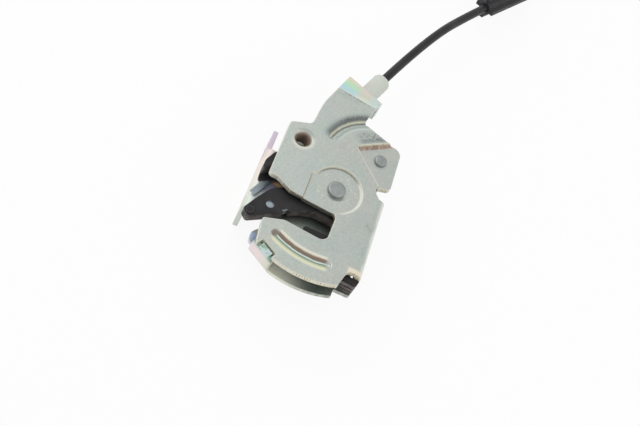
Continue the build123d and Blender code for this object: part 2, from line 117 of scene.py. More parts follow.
# --------------------------------------------------------------- node trees
class Graph:
    """A small builder for the node tree of a material or the world."""

    def __init__(self, owner: bpy.types.ID, output: str = "ShaderNodeOutputMaterial") -> None:
        """Clears the tree.

        Args:
            owner: the material or world.
            output: the type of its output node.
        """
        owner.use_nodes = True
        self.owner = owner
        self.tree = owner.node_tree
        self.tree.nodes.clear()
        self.output = self.add(output)

    def add(self, kind: str, inputs: dict | None = None, **settings) -> bpy.types.Node:
        """Adds a node and fills its inputs.

        Args:
            kind: the node's type.
            inputs: values or sockets by input name or number.
            settings: properties of the node.

        Returns:
            The new node.
        """
        node = self.tree.nodes.new(kind)
        for key, value in settings.items():
            setattr(node, key, value)
        for key, value in (inputs or {}).items():
            self.feed(node, key, value)
        return node

    def feed(self, node: bpy.types.Node, key: str | int, value: object) -> None:
        """Links a socket to an input, or sets the input's value.

        Args:
            node: the node that is fed.
            key: the input's name or number.
            value: a socket, number, vector or colour.
        """
        if isinstance(value, bpy.types.NodeSocket):
            self.tree.links.new(value, node.inputs[key])
            return
        if isinstance(value, tuple) and len(value) == 3 and node.inputs[key].type == "RGBA":
            value = (*value, 1.0)
        node.inputs[key].default_value = value

    def math(self, operation: str, first: object, second: object = 0.0) -> bpy.types.NodeSocket:
        """Returns the output of a maths node."""
        return self.add("ShaderNodeMath", {0: first, 1: second}, operation=operation).outputs[0]

    def vectors(self, operation: str, first: object, second: object) -> bpy.types.Node:
        """Returns a vector maths node."""
        return self.add("ShaderNodeVectorMath", {0: first, 1: second}, operation=operation)

    def product(self, *factors: object) -> object:
        """Returns the product of sockets and numbers."""
        return reduce(lambda total, factor: self.math("MULTIPLY", total, factor), factors)

    def mix(self, factor: object, first: object, second: object,
            blend: str = "MIX") -> bpy.types.NodeSocket:
        """Returns a mix of two colours, from the first at 0 to the second at 1."""
        inputs = {0: factor, 6: first, 7: second}
        return self.add("ShaderNodeMix", inputs, data_type="RGBA", blend_type=blend).outputs[2]

    def blend(self, factor: object, first: object, second: object) -> bpy.types.NodeSocket:
        """Returns a mix of two numbers."""
        node = self.add("ShaderNodeMix", {0: factor, 2: first, 3: second}, data_type="FLOAT")
        return node.outputs[0]

    def spread(self, value: object, low: float, high: float, first: float = 0.0,
               last: float = 1.0, smooth: bool = False) -> bpy.types.NodeSocket:
        """Maps low..high to first..last, clamped.

        Args:
            value: the socket to map.
            low, high: its range.
            first, last: what the range becomes.
            smooth: eases both ends.

        Returns:
            The mapped socket.
        """
        inputs = {0: value, 1: low, 2: high, 3: first, 4: last}
        kind = "SMOOTHSTEP" if smooth else "LINEAR"
        return self.add("ShaderNodeMapRange", inputs, interpolation_type=kind).outputs[0]

    def ramp(self, value: object, stops: tuple) -> bpy.types.NodeSocket:
        """Colours a value.

        Args:
            value: the socket that the stops' values refer to.
            stops: at least two (value, colour) pairs in rising order.

        Returns:
            The ramp's colour.
        """
        low, high = stops[0][0], stops[-1][0]
        node = self.add("ShaderNodeValToRGB", {0: self.spread(value, low, high)})
        elements = node.color_ramp.elements
        elements[0].color = (*stops[0][1], 1.0)
        elements[-1].color = (*stops[-1][1], 1.0)
        for at, colour in stops[1:-1]:
            elements.new((at - low) / (high - low)).color = (*colour, 1.0)
        return node.outputs[0]

    def window(self, value: object, low: float, high: float, soft: float) -> bpy.types.NodeSocket:
        """Marks where a value lies between two others.

        Args:
            value: the socket to test.
            low, high: the range that gives 1.
            soft: how far the mask takes, on each side of both ends, to reach 0 or 1.

        Returns:
            The mask.
        """
        rise = self.spread(value, low - soft, low + soft, smooth=True)
        fall = self.spread(value, high - soft, high + soft, 1.0, 0.0, smooth=True)
        return self.math("MULTIPLY", rise, fall)

    def noise(self, vector: object, scale: float, detail: float,
              rough: float = 0.55) -> bpy.types.NodeSocket:
        """Returns a noise factor."""
        inputs = {"Vector": vector, "Scale": scale, "Detail": detail, "Roughness": rough}
        return self.add("ShaderNodeTexNoise", inputs).outputs[0]


class Surface(Graph):
    """A material under way: where it lies in the drawing, and how it looks so far."""

    def __init__(self, name: str, drawing: Drawing) -> None:
        """Adds the coordinate nodes.

        Args:
            name: the material's name.
            drawing: gives the drawing's origin.
        """
        super().__init__(bpy.data.materials.new(name))
        self.object = self.add("ShaderNodeTexCoord").outputs["Object"]
        moved = self.vectors("SUBTRACT", self.object, drawing.origin).outputs[0]
        self.vector = self.add("ShaderNodeVectorMath", {0: moved, 3: 1 / MM},
                               operation="SCALE").outputs[0]
        self.x, self.y, self.z = self.add("ShaderNodeSeparateXYZ", {0: self.vector}).outputs
        normal = self.add("ShaderNodeNewGeometry").outputs["True Normal"]
        self.upright = self.add("ShaderNodeSeparateXYZ", {0: normal}).outputs[2]
        self.colour: object = (0.5, 0.5, 0.5)
        self.roughness: object = 0.5
        self.metallic: object = 0.0

    def along(self, start: tuple, direction: Vector) -> bpy.types.NodeSocket:
        """Returns the distance from a point along a direction, in millimetres."""
        offset = self.vectors("SUBTRACT", self.vector, (*start, 0.0)).outputs[0]
        return self.vectors("DOT_PRODUCT", offset, direction).outputs["Value"]

    def line(self, start: tuple, end: tuple) -> tuple:
        """Returns the distances to the left of a line and along it, in millimetres."""
        run = Vector((end[0] - start[0], end[1] - start[1], 0.0)).normalized()
        return self.along(start, Vector((-run.y, run.x, 0.0))), self.along(start, run)

    def radius(self, centre: tuple, stretch: tuple = (1.0, 1.0)) -> bpy.types.NodeSocket:
        """Measures from a point in the plate's plane.

        Args:
            centre: the point, in millimetres.
            stretch: factors on x and y, for an oval.

        Returns:
            The distance in millimetres.
        """
        flat = self.vectors("MULTIPLY", self.vector, (*stretch, 0.0)).outputs[0]
        middle = (centre[0] * stretch[0], centre[1] * stretch[1], 0.0)
        return self.vectors("DISTANCE", flat, middle).outputs["Value"]

    def bearing(self, centre: tuple) -> bpy.types.NodeSocket:
        """Returns the direction from a point in degrees, from -180 to 180."""
        east, north = (self.math("SUBTRACT", *pair) for pair in zip((self.x, self.y), centre))
        return self.math("MULTIPLY", self.math("ARCTAN2", north, east), 180 / math.pi)

    def spot(self, centre: tuple, radius: float, soft: float) -> bpy.types.NodeSocket:
        """Returns a soft round mask about a point."""
        return self.spread(self.radius(centre), radius, radius + soft, 1.0, 0.0, smooth=True)

    def steep(self) -> bpy.types.NodeSocket:
        """Returns 1 on walls and cut edges, 0 on faces that lie flat."""
        return self.spread(self.math("ABSOLUTE", self.upright), 0.75, 0.35)

    def grain(self, scale: float, detail: float, rough: float = 0.55) -> bpy.types.NodeSocket:
        """Returns a noise factor that is fixed to the piece."""
        return self.noise(self.object, scale, detail, rough)

    def wobble(self, scale: float, detail: float, width: float) -> bpy.types.NodeSocket:
        """Returns noise about 0, for an uneven border of this width."""
        return self.math("MULTIPLY", self.math("SUBTRACT", self.grain(scale, detail), 0.5), width)

    def edges(self, width: float) -> tuple:
        """Finds the sharp edges.

        Args:
            width: how far in the edges reach, in millimetres.

        Returns:
            The rounded normal, and a mask that is 1 on sharp edges.
        """
        rounded = self.add("ShaderNodeBevel", {"Radius": width * MM}, samples=6).outputs[0]
        flat = self.add("ShaderNodeNewGeometry").outputs["Normal"]
        same = self.vectors("DOT_PRODUCT", rounded, flat).outputs["Value"]
        return rounded, self.spread(same, 0.995, 0.90)

    def tint(self, mask: object, colour: object) -> None:
        """Multiplies the colour where mask is 1."""
        self.colour = self.mix(mask, self.colour, colour, "MULTIPLY")

    def paint(self, masks: tuple, colour: object, metallic: float = 0.25,
              roughness: float = 0.5) -> None:
        """Lays a colour over the surface.

        Args:
            masks: sockets and amounts whose product says where, and how strongly.
            colour: a socket or a linear colour.
            metallic, roughness: of the painted place.
        """
        mask = self.product(*masks)
        self.colour = self.mix(mask, self.colour, colour)
        self.roughness = self.blend(mask, self.roughness, roughness)
        if self.metallic != metallic:
            self.metallic = self.blend(mask, self.metallic, metallic)

    def finish(self, height: object, rounded: object, strength: float, depth: float,
               extra: dict | None = None) -> bpy.types.Material:
        """Ends the tree in its shader.

        Args:
            height: the bump's height.
            rounded: the normal under the bump.
            strength, depth: of the bump, the depth in millimetres.
            extra: more inputs of the shader.

        Returns:
            The finished material.
        """
        bump = self.add("ShaderNodeBump", {"Strength": strength, "Distance": depth * MM,
                                           "Height": height, "Normal": rounded})
        shader = self.add("ShaderNodeBsdfPrincipled", {
            "Base Color": self.colour, "Metallic": self.metallic, "Roughness": self.roughness,
            "Normal": bump.outputs[0], **(extra or {})})
        self.feed(self.output, "Surface", shader.outputs[0])
        return self.owner


# ---------------------------------------------------------------------- marks, and painted light and shade
class Mark:
    """Something laid on a surface: marks of making and use, and painted light and shade."""

    def paint(self, on: Surface) -> None:
        """Lays the mark on a surface."""
        raise NotImplementedError


@dataclass(frozen=True)
class Grit:
    """A noise mask that breaks a mark up: least to 1 as the noise goes from low to high."""

    scale: float
    low: float
    high: float
    detail: float = 4.0
    rough: float = 0.55
    least: float = 0.0

    def mask(self, on: Surface) -> bpy.types.NodeSocket:
        """Returns the mask."""
        noise = on.grain(self.scale, self.detail, self.rough)
        return on.spread(noise, self.low, self.high, self.least)


@dataclass(frozen=True)
class Streaks:
    """Colours in streaks that run up a wall."""

    length: float
    scale: float
    detail: float
    stops: tuple
    turn: float = 0.0

    def colour(self, on: Surface) -> bpy.types.NodeSocket:
        """Colours a surface.

        Args:
            on: the surface.

        Returns:
            The colour.
        """
        inputs = {0: on.object, 2: (0.0, 0.0, self.turn), 3: (1.0, 1.0, self.length)}
        vector = on.add("ShaderNodeMapping", inputs).outputs[0]
        return on.ramp(on.noise(vector, self.scale, self.detail), self.stops)


@dataclass(frozen=True)
class Stripe:
    """A soft-edged stripe. Both of its ranges are low, high and softness."""

    across: tuple
    along: tuple
    amount: float
    colour: tuple | Streaks
    grit: Grit | None = None
    metallic: float = 0.25
    roughness: float = 0.5

    def lay(self, on: Surface, across: object, along: object) -> None:
        """Paints the stripe.

        Args:
            on: the surface.
            across, along: what its two ranges are measured on.
        """
        masks = (on.window(across, *self.across), on.window(along, *self.along))
        if self.grit:
            masks += (self.grit.mask(on),)
        streaked = isinstance(self.colour, Streaks)
        colour = self.colour.colour(on) if streaked else tone(*self.colour)
        on.paint((*masks, self.amount), colour, self.metallic, self.roughness)


@dataclass(frozen=True)
class LineStripes(Mark):
    """Stripes beside a line: across is to its left, along is from its start."""

    start: tuple
    end: tuple
    stripes: tuple

    def paint(self, on: Surface) -> None:
        """Lays the stripes on a surface."""
        for stripe in self.stripes:
            stripe.lay(on, *on.line(self.start, self.end))


@dataclass(frozen=True)
class RingStripes(Mark):
    """Stripes round a point: across is the radius, along the bearing in degrees."""

    centre: tuple
    stripes: tuple

    def paint(self, on: Surface) -> None:
        """Lays the stripes on a surface."""
        for stripe in self.stripes:
            stripe.lay(on, on.radius(self.centre), on.bearing(self.centre))


@dataclass(frozen=True)
class Spot(Mark):
    """A soft round patch."""

    centre: tuple
    radius: float
    soft: float
    amount: float
    colour: tuple
    grit: Grit | None = None

    def paint(self, on: Surface) -> None:
        """Lays the patch on a surface."""
        masks = (on.spot(self.centre, self.radius, self.soft), self.amount)
        on.paint((*masks, self.grit.mask(on)) if self.grit else masks, tone(*self.colour))


@dataclass(frozen=True)
class Specks(Mark):
    """Dirt all over a surface."""

    grit: Grit
    amount: float
    colour: tuple

    def paint(self, on: Surface) -> None:
        """Lays the dirt on a surface."""
        on.paint((self.grit.mask(on), self.amount), tone(*self.colour))


@dataclass(frozen=True)
class Groove(Mark):
    """Painted highlight and shade lines across a curved groove, with passivation tints, by radius.
    """

    centre: tuple
    angles: tuple
    soft: float
    stops: tuple
    strength: float = 0.92
    fade: float = 0.6

    def paint(self, on: Surface) -> None:
        """Lays the painted highlight and shade lines on, from the groove's inner to its outer side.

        Args:
            on: the surface.
        """
        radius = on.radius(self.centre)
        inner, outer = self.stops[0][0] + self.fade, self.stops[-1][0] - self.fade
        reach = on.window(radius, inner, outer, self.fade)
        turned = on.math("ADD", on.bearing(self.centre), 360.0)
        length = on.window(on.math("MODULO", turned, 360.0), *self.angles, self.soft)
        uneven = on.math("ADD", radius, on.wobble(500.0, 2.0, 0.5))
        # painted highlight and shade across the groove, with its passivation tints
        on.paint((reach, length, self.strength), on.ramp(uneven, self.stops))


@dataclass(frozen=True)
class CutEdges(Mark):
    """Shear stripes on cut edges, with painted shade where the mouth's upper edge is in shade."""

    mouth_x: tuple = (-19.5, 9.0, 2.5)
    mouth_y: tuple = (-15.5, -6.0, 0.8)
    depth: tuple = (-0.6, -2.0)
    shaded: tuple = (62, 58, 54)
    streaks: Streaks = Streaks(0.08, 1500.0, 2.0, shades(
        (0.36, 176, 160, 132), (0.46, 226, 220, 196), (0.66, 238, 235, 220)))
    strength: float = 0.85

    def paint(self, on: Surface) -> None:
        """Lays the stripes on a surface.

        Args:
            on: the surface.
        """
        # painted shade on the mouth's upper cut edge
        mouth_shade = on.product(on.window(on.x, *self.mouth_x), on.window(on.y, *self.mouth_y),
                          on.spread(on.z, *self.depth), self.strength)
        sheared = on.mix(mouth_shade, self.streaks.colour(on), tone(*self.shaded))
        on.paint((on.steep(), self.strength), sheared, 0.4, 0.42)


@dataclass(frozen=True)
class BentTab(Mark):
    """Rainbow passivation colours with painted sheen on the facet beyond the tab's bend line, and a
    painted highlight along the line, by distance from it.
    """

    start: tuple = (-17.8, 56.2)
    end: tuple = (1.8, 53.9)
    left: tuple = shades(
        (0.0, 226, 226, 214), (0.6, 186, 222, 222), (1.8, 184, 216, 232), (3.0, 186, 222, 216),
        (4.6, 184, 228, 196), (6.6, 200, 228, 196), (8.6, 226, 222, 192), (10.0, 232, 208, 194))
    right: tuple = shades(
        (0.0, 232, 230, 214), (1.4, 216, 224, 208), (3.0, 214, 210, 194), (5.5, 222, 214, 202),
        (8.0, 226, 214, 208))
    change: tuple = (7.0, 13.0)
    tip: tuple = (17.0, 24.0, 1.6)

    def paint(self, on: Surface) -> None:
        """Lays the rainbow, its painted sheen and the painted highlight on a surface.

        Args:
            on: the surface.
        """
        above, along = on.line(self.start, self.end)
        depth = on.math("ADD", above, on.wobble(130.0, 2.0, 2.4))
        turn = on.spread(along, *self.change, smooth=True)
        # the ramps stand for the tilted facet's shading as well as its rainbow; their first, cream
        # stop is a painted highlight on the bend
        rainbow = on.mix(turn, on.ramp(depth, self.left), on.ramp(depth, self.right))
        tip = on.product(on.window(along, *self.tip), 0.6)
        rainbow = on.mix(tip, rainbow, tone(196, 224, 224))
        on.paint((on.spread(above, -0.15, 0.35, smooth=True), 0.9), rainbow, 0.35, 0.34)


@dataclass(frozen=True)
class Galling(Mark):
    """Curly scratches round the fork's rivet."""

    centre: tuple = (0.2, -0.3)
    ring: tuple = (5.4, 10.6, 1.2)
    rows: tuple = (-9.0, 12.0, 2.0)
    thin: float = 0.012
    lines: tuple = ((0.515, 0.545, 0.55, (222, 224, 214)), (0.56, 0.58, 0.40, (132, 132, 118)))

    def paint(self, on: Surface) -> None:
        """Lays the scratches on a surface.

        Args:
            on: the surface.
        """
        warped = on.grain(330.0, 3.0, 0.6)
        ring = on.window(on.radius(self.centre), *self.ring)
        near = on.product(ring, on.window(on.y, *self.rows))
        for low, high, amount, colour in self.lines:
            on.paint((on.window(warped, low, high, self.thin), near, amount), tone(*colour))


@dataclass(frozen=True)
class Bore(Mark):
    """The wall of the threaded hole, painted dark brown below the face."""

    centre: tuple = (-24.1, 18.8)
    radius: tuple = (4.8, 4.4)
    depth: tuple = (-0.1, -1.0)
    colour: tuple = (138, 120, 106)

    def paint(self, on: Surface) -> None:
        """Lays the dark brown on a surface."""
        inside = on.spread(on.radius(self.centre), *self.radius)
        on.paint((inside, on.spread(on.z, *self.depth)), tone(*self.colour), 0.6, 0.35)


@dataclass(frozen=True)
class SideBend(Mark):
    """Painted highlight along the right-hand bend, and a cream painted highlight on its hook."""

    start: tuple = (25.9, -38.4)
    end: tuple = (24.5, 4.9)
    reach: tuple = (2.4, 0.8)
    top: tuple = (5.4, 4.6)
    hook_y: tuple = (-35.8, -36.8)
    hook_x: tuple = (17.6, 18.8)

    def paint(self, on: Surface) -> None:
        """Lays the painted highlights on the band and on the hook.

        Args:
            on: the surface.
        """
        # painted highlight where the plate bends back along its right edge
        inside = on.math("ADD", on.line(self.start, self.end)[0], on.wobble(90.0, 3.0, 4.0))
        band = on.spread(inside, *self.reach, smooth=True)
        on.paint((band, on.spread(on.y, *self.top), 0.7), tone(226, 229, 221), 0.35)
        hook = (on.spread(on.y, *self.hook_y), on.spread(on.x, *self.hook_x), 0.85)
        on.paint(hook, tone(236, 226, 202), 0.3)


@dataclass(frozen=True)
class BackMarks(Mark):
    """Passivation colours, painted reflections and painted light on the back plate, its flange and
    its lower wall.
    """

    lower_wall: tuple = ((-41.5, -43.5), (-3.0, -5.0), (10.0, -10.0))
    flange_x: tuple = (-31.0, -33.5)
    flange_drift: float = 8.0
    low_end: tuple = ((4.0, 1.0), (-15.0, -19.0))
    key_end: tuple = ((7.0, 6.0), (-4.4, -3.6))
    film_and_reflection_x: tuple = (-23.5, -26.0)
    film_and_reflection_y: tuple = (-22.5, 8.0, 0.8)
    wall: tuple = ((-34.0, -34.0), (-22.0, -48.0))
    sheared: Streaks = Streaks(0.1, 900.0, 3.0, shades((0.36, 156, 158, 148), (0.6, 216, 216, 204)))
    pastel: tuple = shades(
        (-22.0, 214, 226, 214), (-10.0, 228, 234, 224), (2.0, 244, 236, 226),
        (14.0, 244, 230, 220), (24.0, 230, 214, 234), (32.0, 224, 208, 234))
    blush: tuple = shades((0.36, 250, 234, 234), (0.6, 242, 226, 232))
    key: tuple = shades((0.34, 150, 176, 158), (0.46, 196, 226, 214), (0.56, 206, 226, 232),
                        (0.68, 176, 184, 190))
    film_and_reflection: tuple = shades((-38.0, 240, 232, 222), (-34.6, 216, 218, 236), (-31.5, 206, 220, 238),
                         (-28.5, 186, 186, 212), (-25.0, 120, 116, 134))
    lens_centre: tuple = (-26.2, -4.0)
    lens_stretch: tuple = (0.55, 1.4)
    lens_edge: tuple = (2.4, 1.5)
    lens: tuple = shades((0.0, 240, 222, 160), (0.9, 238, 200, 130), (1.5, 196, 150, 150),
                         (2.2, 150, 120, 160))
    jaw_spot: tuple = ((-28.2, -37.0), 3.0, 1.4)
    jaw: tuple = shades((-30.0, 236, 242, 246), (-28.6, 190, 206, 234), (-26.6, 156, 172, 204))

    def paint(self, on: Surface) -> None:
        """Lays the colours on a surface.

        Args:
            on: the surface.
        """
        on.paint((on.steep(), 0.6), self.sheared.colour(on), 0.5, 0.4)
        self.inner_face(on)
        # painted light on the back plate's lower wall, which lies in shade under the front plate,
        # palest at its left
        below, behind, to_left = self.lower_wall
        lower = (on.spread(on.y, *below), on.spread(on.z, *behind),
                 on.spread(on.x, *to_left, smooth=True), 0.9)
        on.paint(lower, tone(232, 233, 216), 0.1, 0.5)
        # pastel passivation tints on the flange, made pale with painted reflection
        flange = on.spread(on.x, *self.flange_x)
        drift = on.math("MULTIPLY", on.grain(160.0, 2.0), self.flange_drift)
        height = on.math("ADD", on.y, drift)
        on.paint((flange, 0.85), on.ramp(height, self.pastel), 0.3, 0.4)
        outside, _ = on.line(*self.wall)
        beyond, left = self.low_end
        low = (on.spread(outside, *beyond), on.spread(on.x, *left), on.steep(), 0.9)
        on.paint(low, on.ramp(on.grain(110.0, 2.0), self.blush), 0.25, 0.4)
        beyond, above = self.key_end
        key = (on.spread(outside, *beyond), on.spread(on.z, *above), 0.85)
        on.paint(key, on.ramp(on.grain(260.0, 2.0), self.key), 0.4, 0.35)

    def inner_face(self, on: Surface) -> None:
        """Lays lavender film with painted reflection and an amber patch left of the fork, and a
        painted blue reflection on the jaw.

        Args:
            on: the surface.
        """
        # lavender film left of the fork: passivation tints with painted reflection, darker towards
        # the fork
        wobble = on.wobble(120.0, 2.0, 6.0)
        film_and_reflection = on.ramp(on.math("ADD", on.x, wobble), self.film_and_reflection)
        zone = (on.spread(on.x, *self.film_and_reflection_x), on.window(on.y, *self.film_and_reflection_y), 0.9)
        on.paint(zone, film_and_reflection, 0.3, 0.36)
        away = on.radius(self.lens_centre, self.lens_stretch)
        lens = on.ramp(away, self.lens)
        on.paint((on.spread(away, *self.lens_edge, smooth=True),), lens, 0.2, 0.4)
        # painted blue reflection on the jaw's round end
        across = on.math("ADD", on.x, on.math("MULTIPLY", wobble, 0.3))
        on.paint((on.spot(*self.jaw_spot), 0.9), on.ramp(across, self.jaw), 0.4, 0.32)


ALL_ROUND = (-200.0, 200.0, 1.0)


@dataclass(frozen=True)
class RivetHead(Mark):
    """Rings that the riveting tool leaves on a head."""

    centre: tuple
    edge: float
    pitch: float
    crest: tuple = (0.1, 1.0)
    flat: tuple = (0.9, 0.4)
    rim: tuple = (0.5, 0.1, 0.2)

    def paint(self, on: Surface) -> None:
        """Lays a spiral and the head's rim on a surface.

        Args:
            on: the surface.
        """
        radius = on.radius(self.centre)
        spin = on.math("MULTIPLY", on.bearing(self.centre), self.pitch / 360.0)
        phase = on.math("MULTIPLY", on.math("ADD", radius, spin), 2 * math.pi / self.pitch)
        crest = on.spread(on.math("SINE", phase), *self.crest)
        low, high = (self.edge - inset for inset in self.flat)
        inside = on.spread(radius, low, high, 1.0, 0.0)
        on.paint((inside, crest, 0.32), tone(112, 120, 118), 0.7, 0.4)
        below, past, soft = self.rim
        rim = on.window(radius, self.edge - below, self.edge + past, soft)
        on.paint((rim, 0.35), tone(120, 126, 122), 0.6, 0.4)


@dataclass(frozen=True)
class SideShading(Mark):
    """Painted light and shade on the upright faces of a piece, broken up in patches."""

    colour: tuple
    wear_and_light: Grit = Grit(260.0, 0.30, 0.60, 3.0)
    amount: float = 0.8

    def paint(self, on: Surface) -> None:
        """Lays the painted side tone on a surface."""
        # painted light and shade on upright faces: lighter on the cover and rubber, darker on the
        # spring, in patches
        on.paint((on.steep(), self.wear_and_light.mask(on), self.amount), tone(*self.colour), 0.0)


# Rail groove: painted shade on its upper wall and dark lines, painted highlights on its pale lines,
# with passivation tints.
RAIL = Groove((0.0, 0.0), (242.5, 281.5), 1.6, shades(
    (36.4, 184, 194, 188), (37.6, 232, 230, 212), (38.5, 214, 208, 190), (38.9, 146, 122, 106),
    (39.6, 122, 100, 88), (40.0, 128, 112, 96), (40.4, 222, 240, 236), (40.8, 196, 214, 206),
    (41.1, 96, 118, 98), (41.6, 160, 184, 160), (42.2, 206, 222, 200), (43.0, 214, 214, 176),
    (43.8, 228, 226, 196), (45.4, 184, 193, 186)))

# Arm groove: painted shade in the broad dark band outside it and its dark lines, painted highlight
# on its cream line.
ARM = Groove((12.5, 21.0), (110.0, 166.0), 5.0, shades(
    (20.2, 188, 195, 190), (21.2, 200, 206, 200), (22.0, 168, 181, 173), (22.5, 148, 164, 158),
    (23.1, 184, 196, 188), (23.8, 196, 205, 199), (24.4, 140, 144, 140), (24.8, 96, 98, 96),
    (25.2, 150, 152, 140), (25.9, 216, 216, 190), (26.4, 150, 154, 142), (27.0, 96, 102, 102),
    (28.4, 124, 132, 130), (29.6, 166, 175, 170), (31.6, 184, 193, 188)))

TAB_LINE = LineStripes((-17.8, 56.2), (1.8, 53.9), (
    Stripe((-0.75, -0.25, 0.22), (4.0, 17.5, 2.0), 0.85, (70, 72, 68),
           Grit(1900.0, 0.44, 0.52, 1.0)),
    Stripe((-3.6, -1.0, 1.4), (-1.0, 14.0, 2.5), 0.35, (120, 126, 122),
           Grit(1300.0, 0.50, 0.62, 3.0, 0.7))))

# Ear recess's top wall: speckled painted shade above it, a painted highlight line on its edge, and
# a brown painted reflection on the wall.
EAR_WALL_SHADING = LineStripes((1.5, 28.5), (24.0, 43.6), (
    Stripe((0.9, 3.0, 0.9), (2.5, 17.5, 2.0), 0.85, (112, 119, 117),
           Grit(1500.0, 0.36, 0.62, 4.0, 0.7, 0.45)),
    Stripe((-0.1, 0.35, 0.2), (1.5, 24.0, 1.0), 0.9, (214, 214, 192)),
    Stripe((-1.9, -0.35, 0.25), (0.3, 24.0, 0.8), 0.9, Streaks(
        0.3, 700.0, 3.0, shades((0.35, 148, 118, 100), (0.65, 196, 172, 156)), 0.6))))

# Ear recess's side wall: a painted highlight line on its edge and a brown painted reflection beside
# it.
EAR_SIDE = LineStripes((1.5, 28.5), (26.6, 4.0), (
    Stripe((-0.5, 0.5, 0.3), (1.0, 40.0, 0.8), 0.8, (218, 216, 208)),
    Stripe((0.9, 1.5, 0.3), (1.5, 12.0, 2.0), 0.6, (150, 128, 118))))

# Hub seat: painted shade on its upper wall, painted highlights on the crest above it and on its
# right-hand wall, and a painted shadow below the rivet.
HUB_SEAT = RingStripes((0.2, -0.3), (
    Stripe((11.9, 12.55, 0.25), (48.0, 150.0, 18.0), 0.9, (118, 117, 104)),
    Stripe((12.7, 13.4, 0.3), (48.0, 150.0, 18.0), 0.8, (202, 204, 190)),
    Stripe((11.8, 13.0, 0.35), (-62.0, 42.0, 12.0), 0.85, (232, 234, 222), metallic=0.3),
    Stripe((4.4, 5.5, 0.5), (-120.0, -30.0, 20.0), 0.75, (92, 96, 90))))

# Painted shade on the hub seat's straight left-hand wall.
SEAT_SIDE = LineStripes((0.0, 0.0), (0.0, 1.0), (
    Stripe((13.5, 14.1, 0.25), (-11.5, 2.5, 1.0), 0.75, (150, 142, 116)),))

# Collar of the threaded hole: a painted highlight on its lower and right-hand side, painted shade
# on its upper side.
DRAWN_HOLE = RingStripes((-24.1, 18.8), (
    Stripe((4.6, 6.1, 0.6), (-150.0, 20.0, 25.0), 0.6, (226, 224, 206)),
    Stripe((4.6, 6.1, 0.6), (40.0, 130.0, 20.0), 0.5, (138, 144, 138))))

# Speckled painted shade: the broad dark band outside the arm groove and the patch above the ear
# recess.
SPECKLED_SHADE = RingStripes(ARM.centre, (
    Stripe((26.6, 29.0, 1.2), (114.0, 144.0, 12.0), 0.75, (62, 66, 68), Grit(1500.0, 0.44, 0.60)),
    Stripe((15.2, 19.4, 1.2), (88.0, 134.0, 12.0), 0.6, (62, 66, 68), Grit(1500.0, 0.44, 0.60))))

# Pip on the fork's cover: a ring of painted shade round its foot and a ring of painted highlight on
# its top.
FORK_BOSS = RingStripes((-34.3, -27.6), (
    Stripe((2.2, 2.6, 0.15), ALL_ROUND, 0.8, (12, 12, 13), metallic=0.0),
    Stripe((1.6, 2.0, 0.12), ALL_ROUND, 0.4, (84, 82, 86), metallic=0.0)))

PLATE_MARKS = (
    # Spot at (-19.6, -35.5): painted shade on the rail groove's left end.
    RAIL, Spot((-19.6, -35.5), 0.9, 1.3, 0.8, (120, 108, 98)), ARM, BentTab(), TAB_LINE, EAR_WALL_SHADING,
    EAR_SIDE, Spot((9.5, 26.0), 0.5, 4.5, 0.5, (196, 160, 164), Grit(420.0, 0.45, 0.62, 3.0)),
    HUB_SEAT, SEAT_SIDE, Galling(), DRAWN_HOLE, Bore(), SideBend(),
    # Spot at (21.3, -12.1): painted shade in a dent by the right-hand bend.
    Spot((21.3, -12.1), 0.6, 3.0, 0.45, (104, 108, 102), Grit(900.0, 0.46, 0.62)),
    Specks(Grit(2600.0, 0.70, 0.76, 2.0), 0.35, (112, 114, 108)), SPECKLED_SHADE)


# ------------------------------------------------------------------- finishes
@dataclass(frozen=True)
class Metal:
    """A plated or bare steel finish. Its under marks lie below the painted highlights, with wear,
    on its sharp edges.
    """

    name: str
    base: tuple
    stain: tuple
    edge: tuple
    metallic: float = 0.85
    roughness: float = 0.36
    cloud: float = 70.0
    peel: float = 1500.0
    rainbow: float = 0.0
    edge_width: float = 0.4
    edge_amount: float = 0.6
    bump: float = 0.10
    under: tuple = ()
    marks: tuple = ()
    pastels: tuple = ((0.30, (0.86, 0.74, 0.84)), (0.44, (0.95, 0.93, 0.78)),
                      (0.54, (0.80, 0.92, 0.84)), (0.68, (0.74, 0.85, 0.94)))

    def material(self, drawing: Drawing) -> bpy.types.Material:
        """Builds the node tree.

        Args:
            drawing: places the marks.

        Returns:
            The finished material.
        """
        on = Surface(self.name, drawing)
        peel = on.grain(self.peel, 5.0, 0.62)
        stained = on.spread(on.grain(self.cloud, 3.0), 0.42, 0.66, 0.0, 0.7)
        on.colour = on.mix(stained, tone(*self.base), tone(*self.stain))
        if self.rainbow:
            on.tint(self.rainbow, on.ramp(on.grain(self.cloud * 0.8, 2.0), self.pastels))
        on.tint(1.0, on.spread(peel, 0.30, 0.70, 0.86, 1.10))
        rounded, wear_and_light = on.edges(self.edge_width)
        on.roughness = on.spread(peel, 0.2, 0.8, self.roughness - 0.06, self.roughness + 0.10)
        on.metallic = self.metallic
        for mark in self.under:
            mark.paint(on)
        # painted highlight on sharp edges, which also stands for edge wear
        on.paint((wear_and_light, self.edge_amount), tone(*self.edge), self.metallic, self.roughness)
        for mark in self.marks:
            mark.paint(on)
        return on.finish(peel, rounded, self.bump, 0.05)


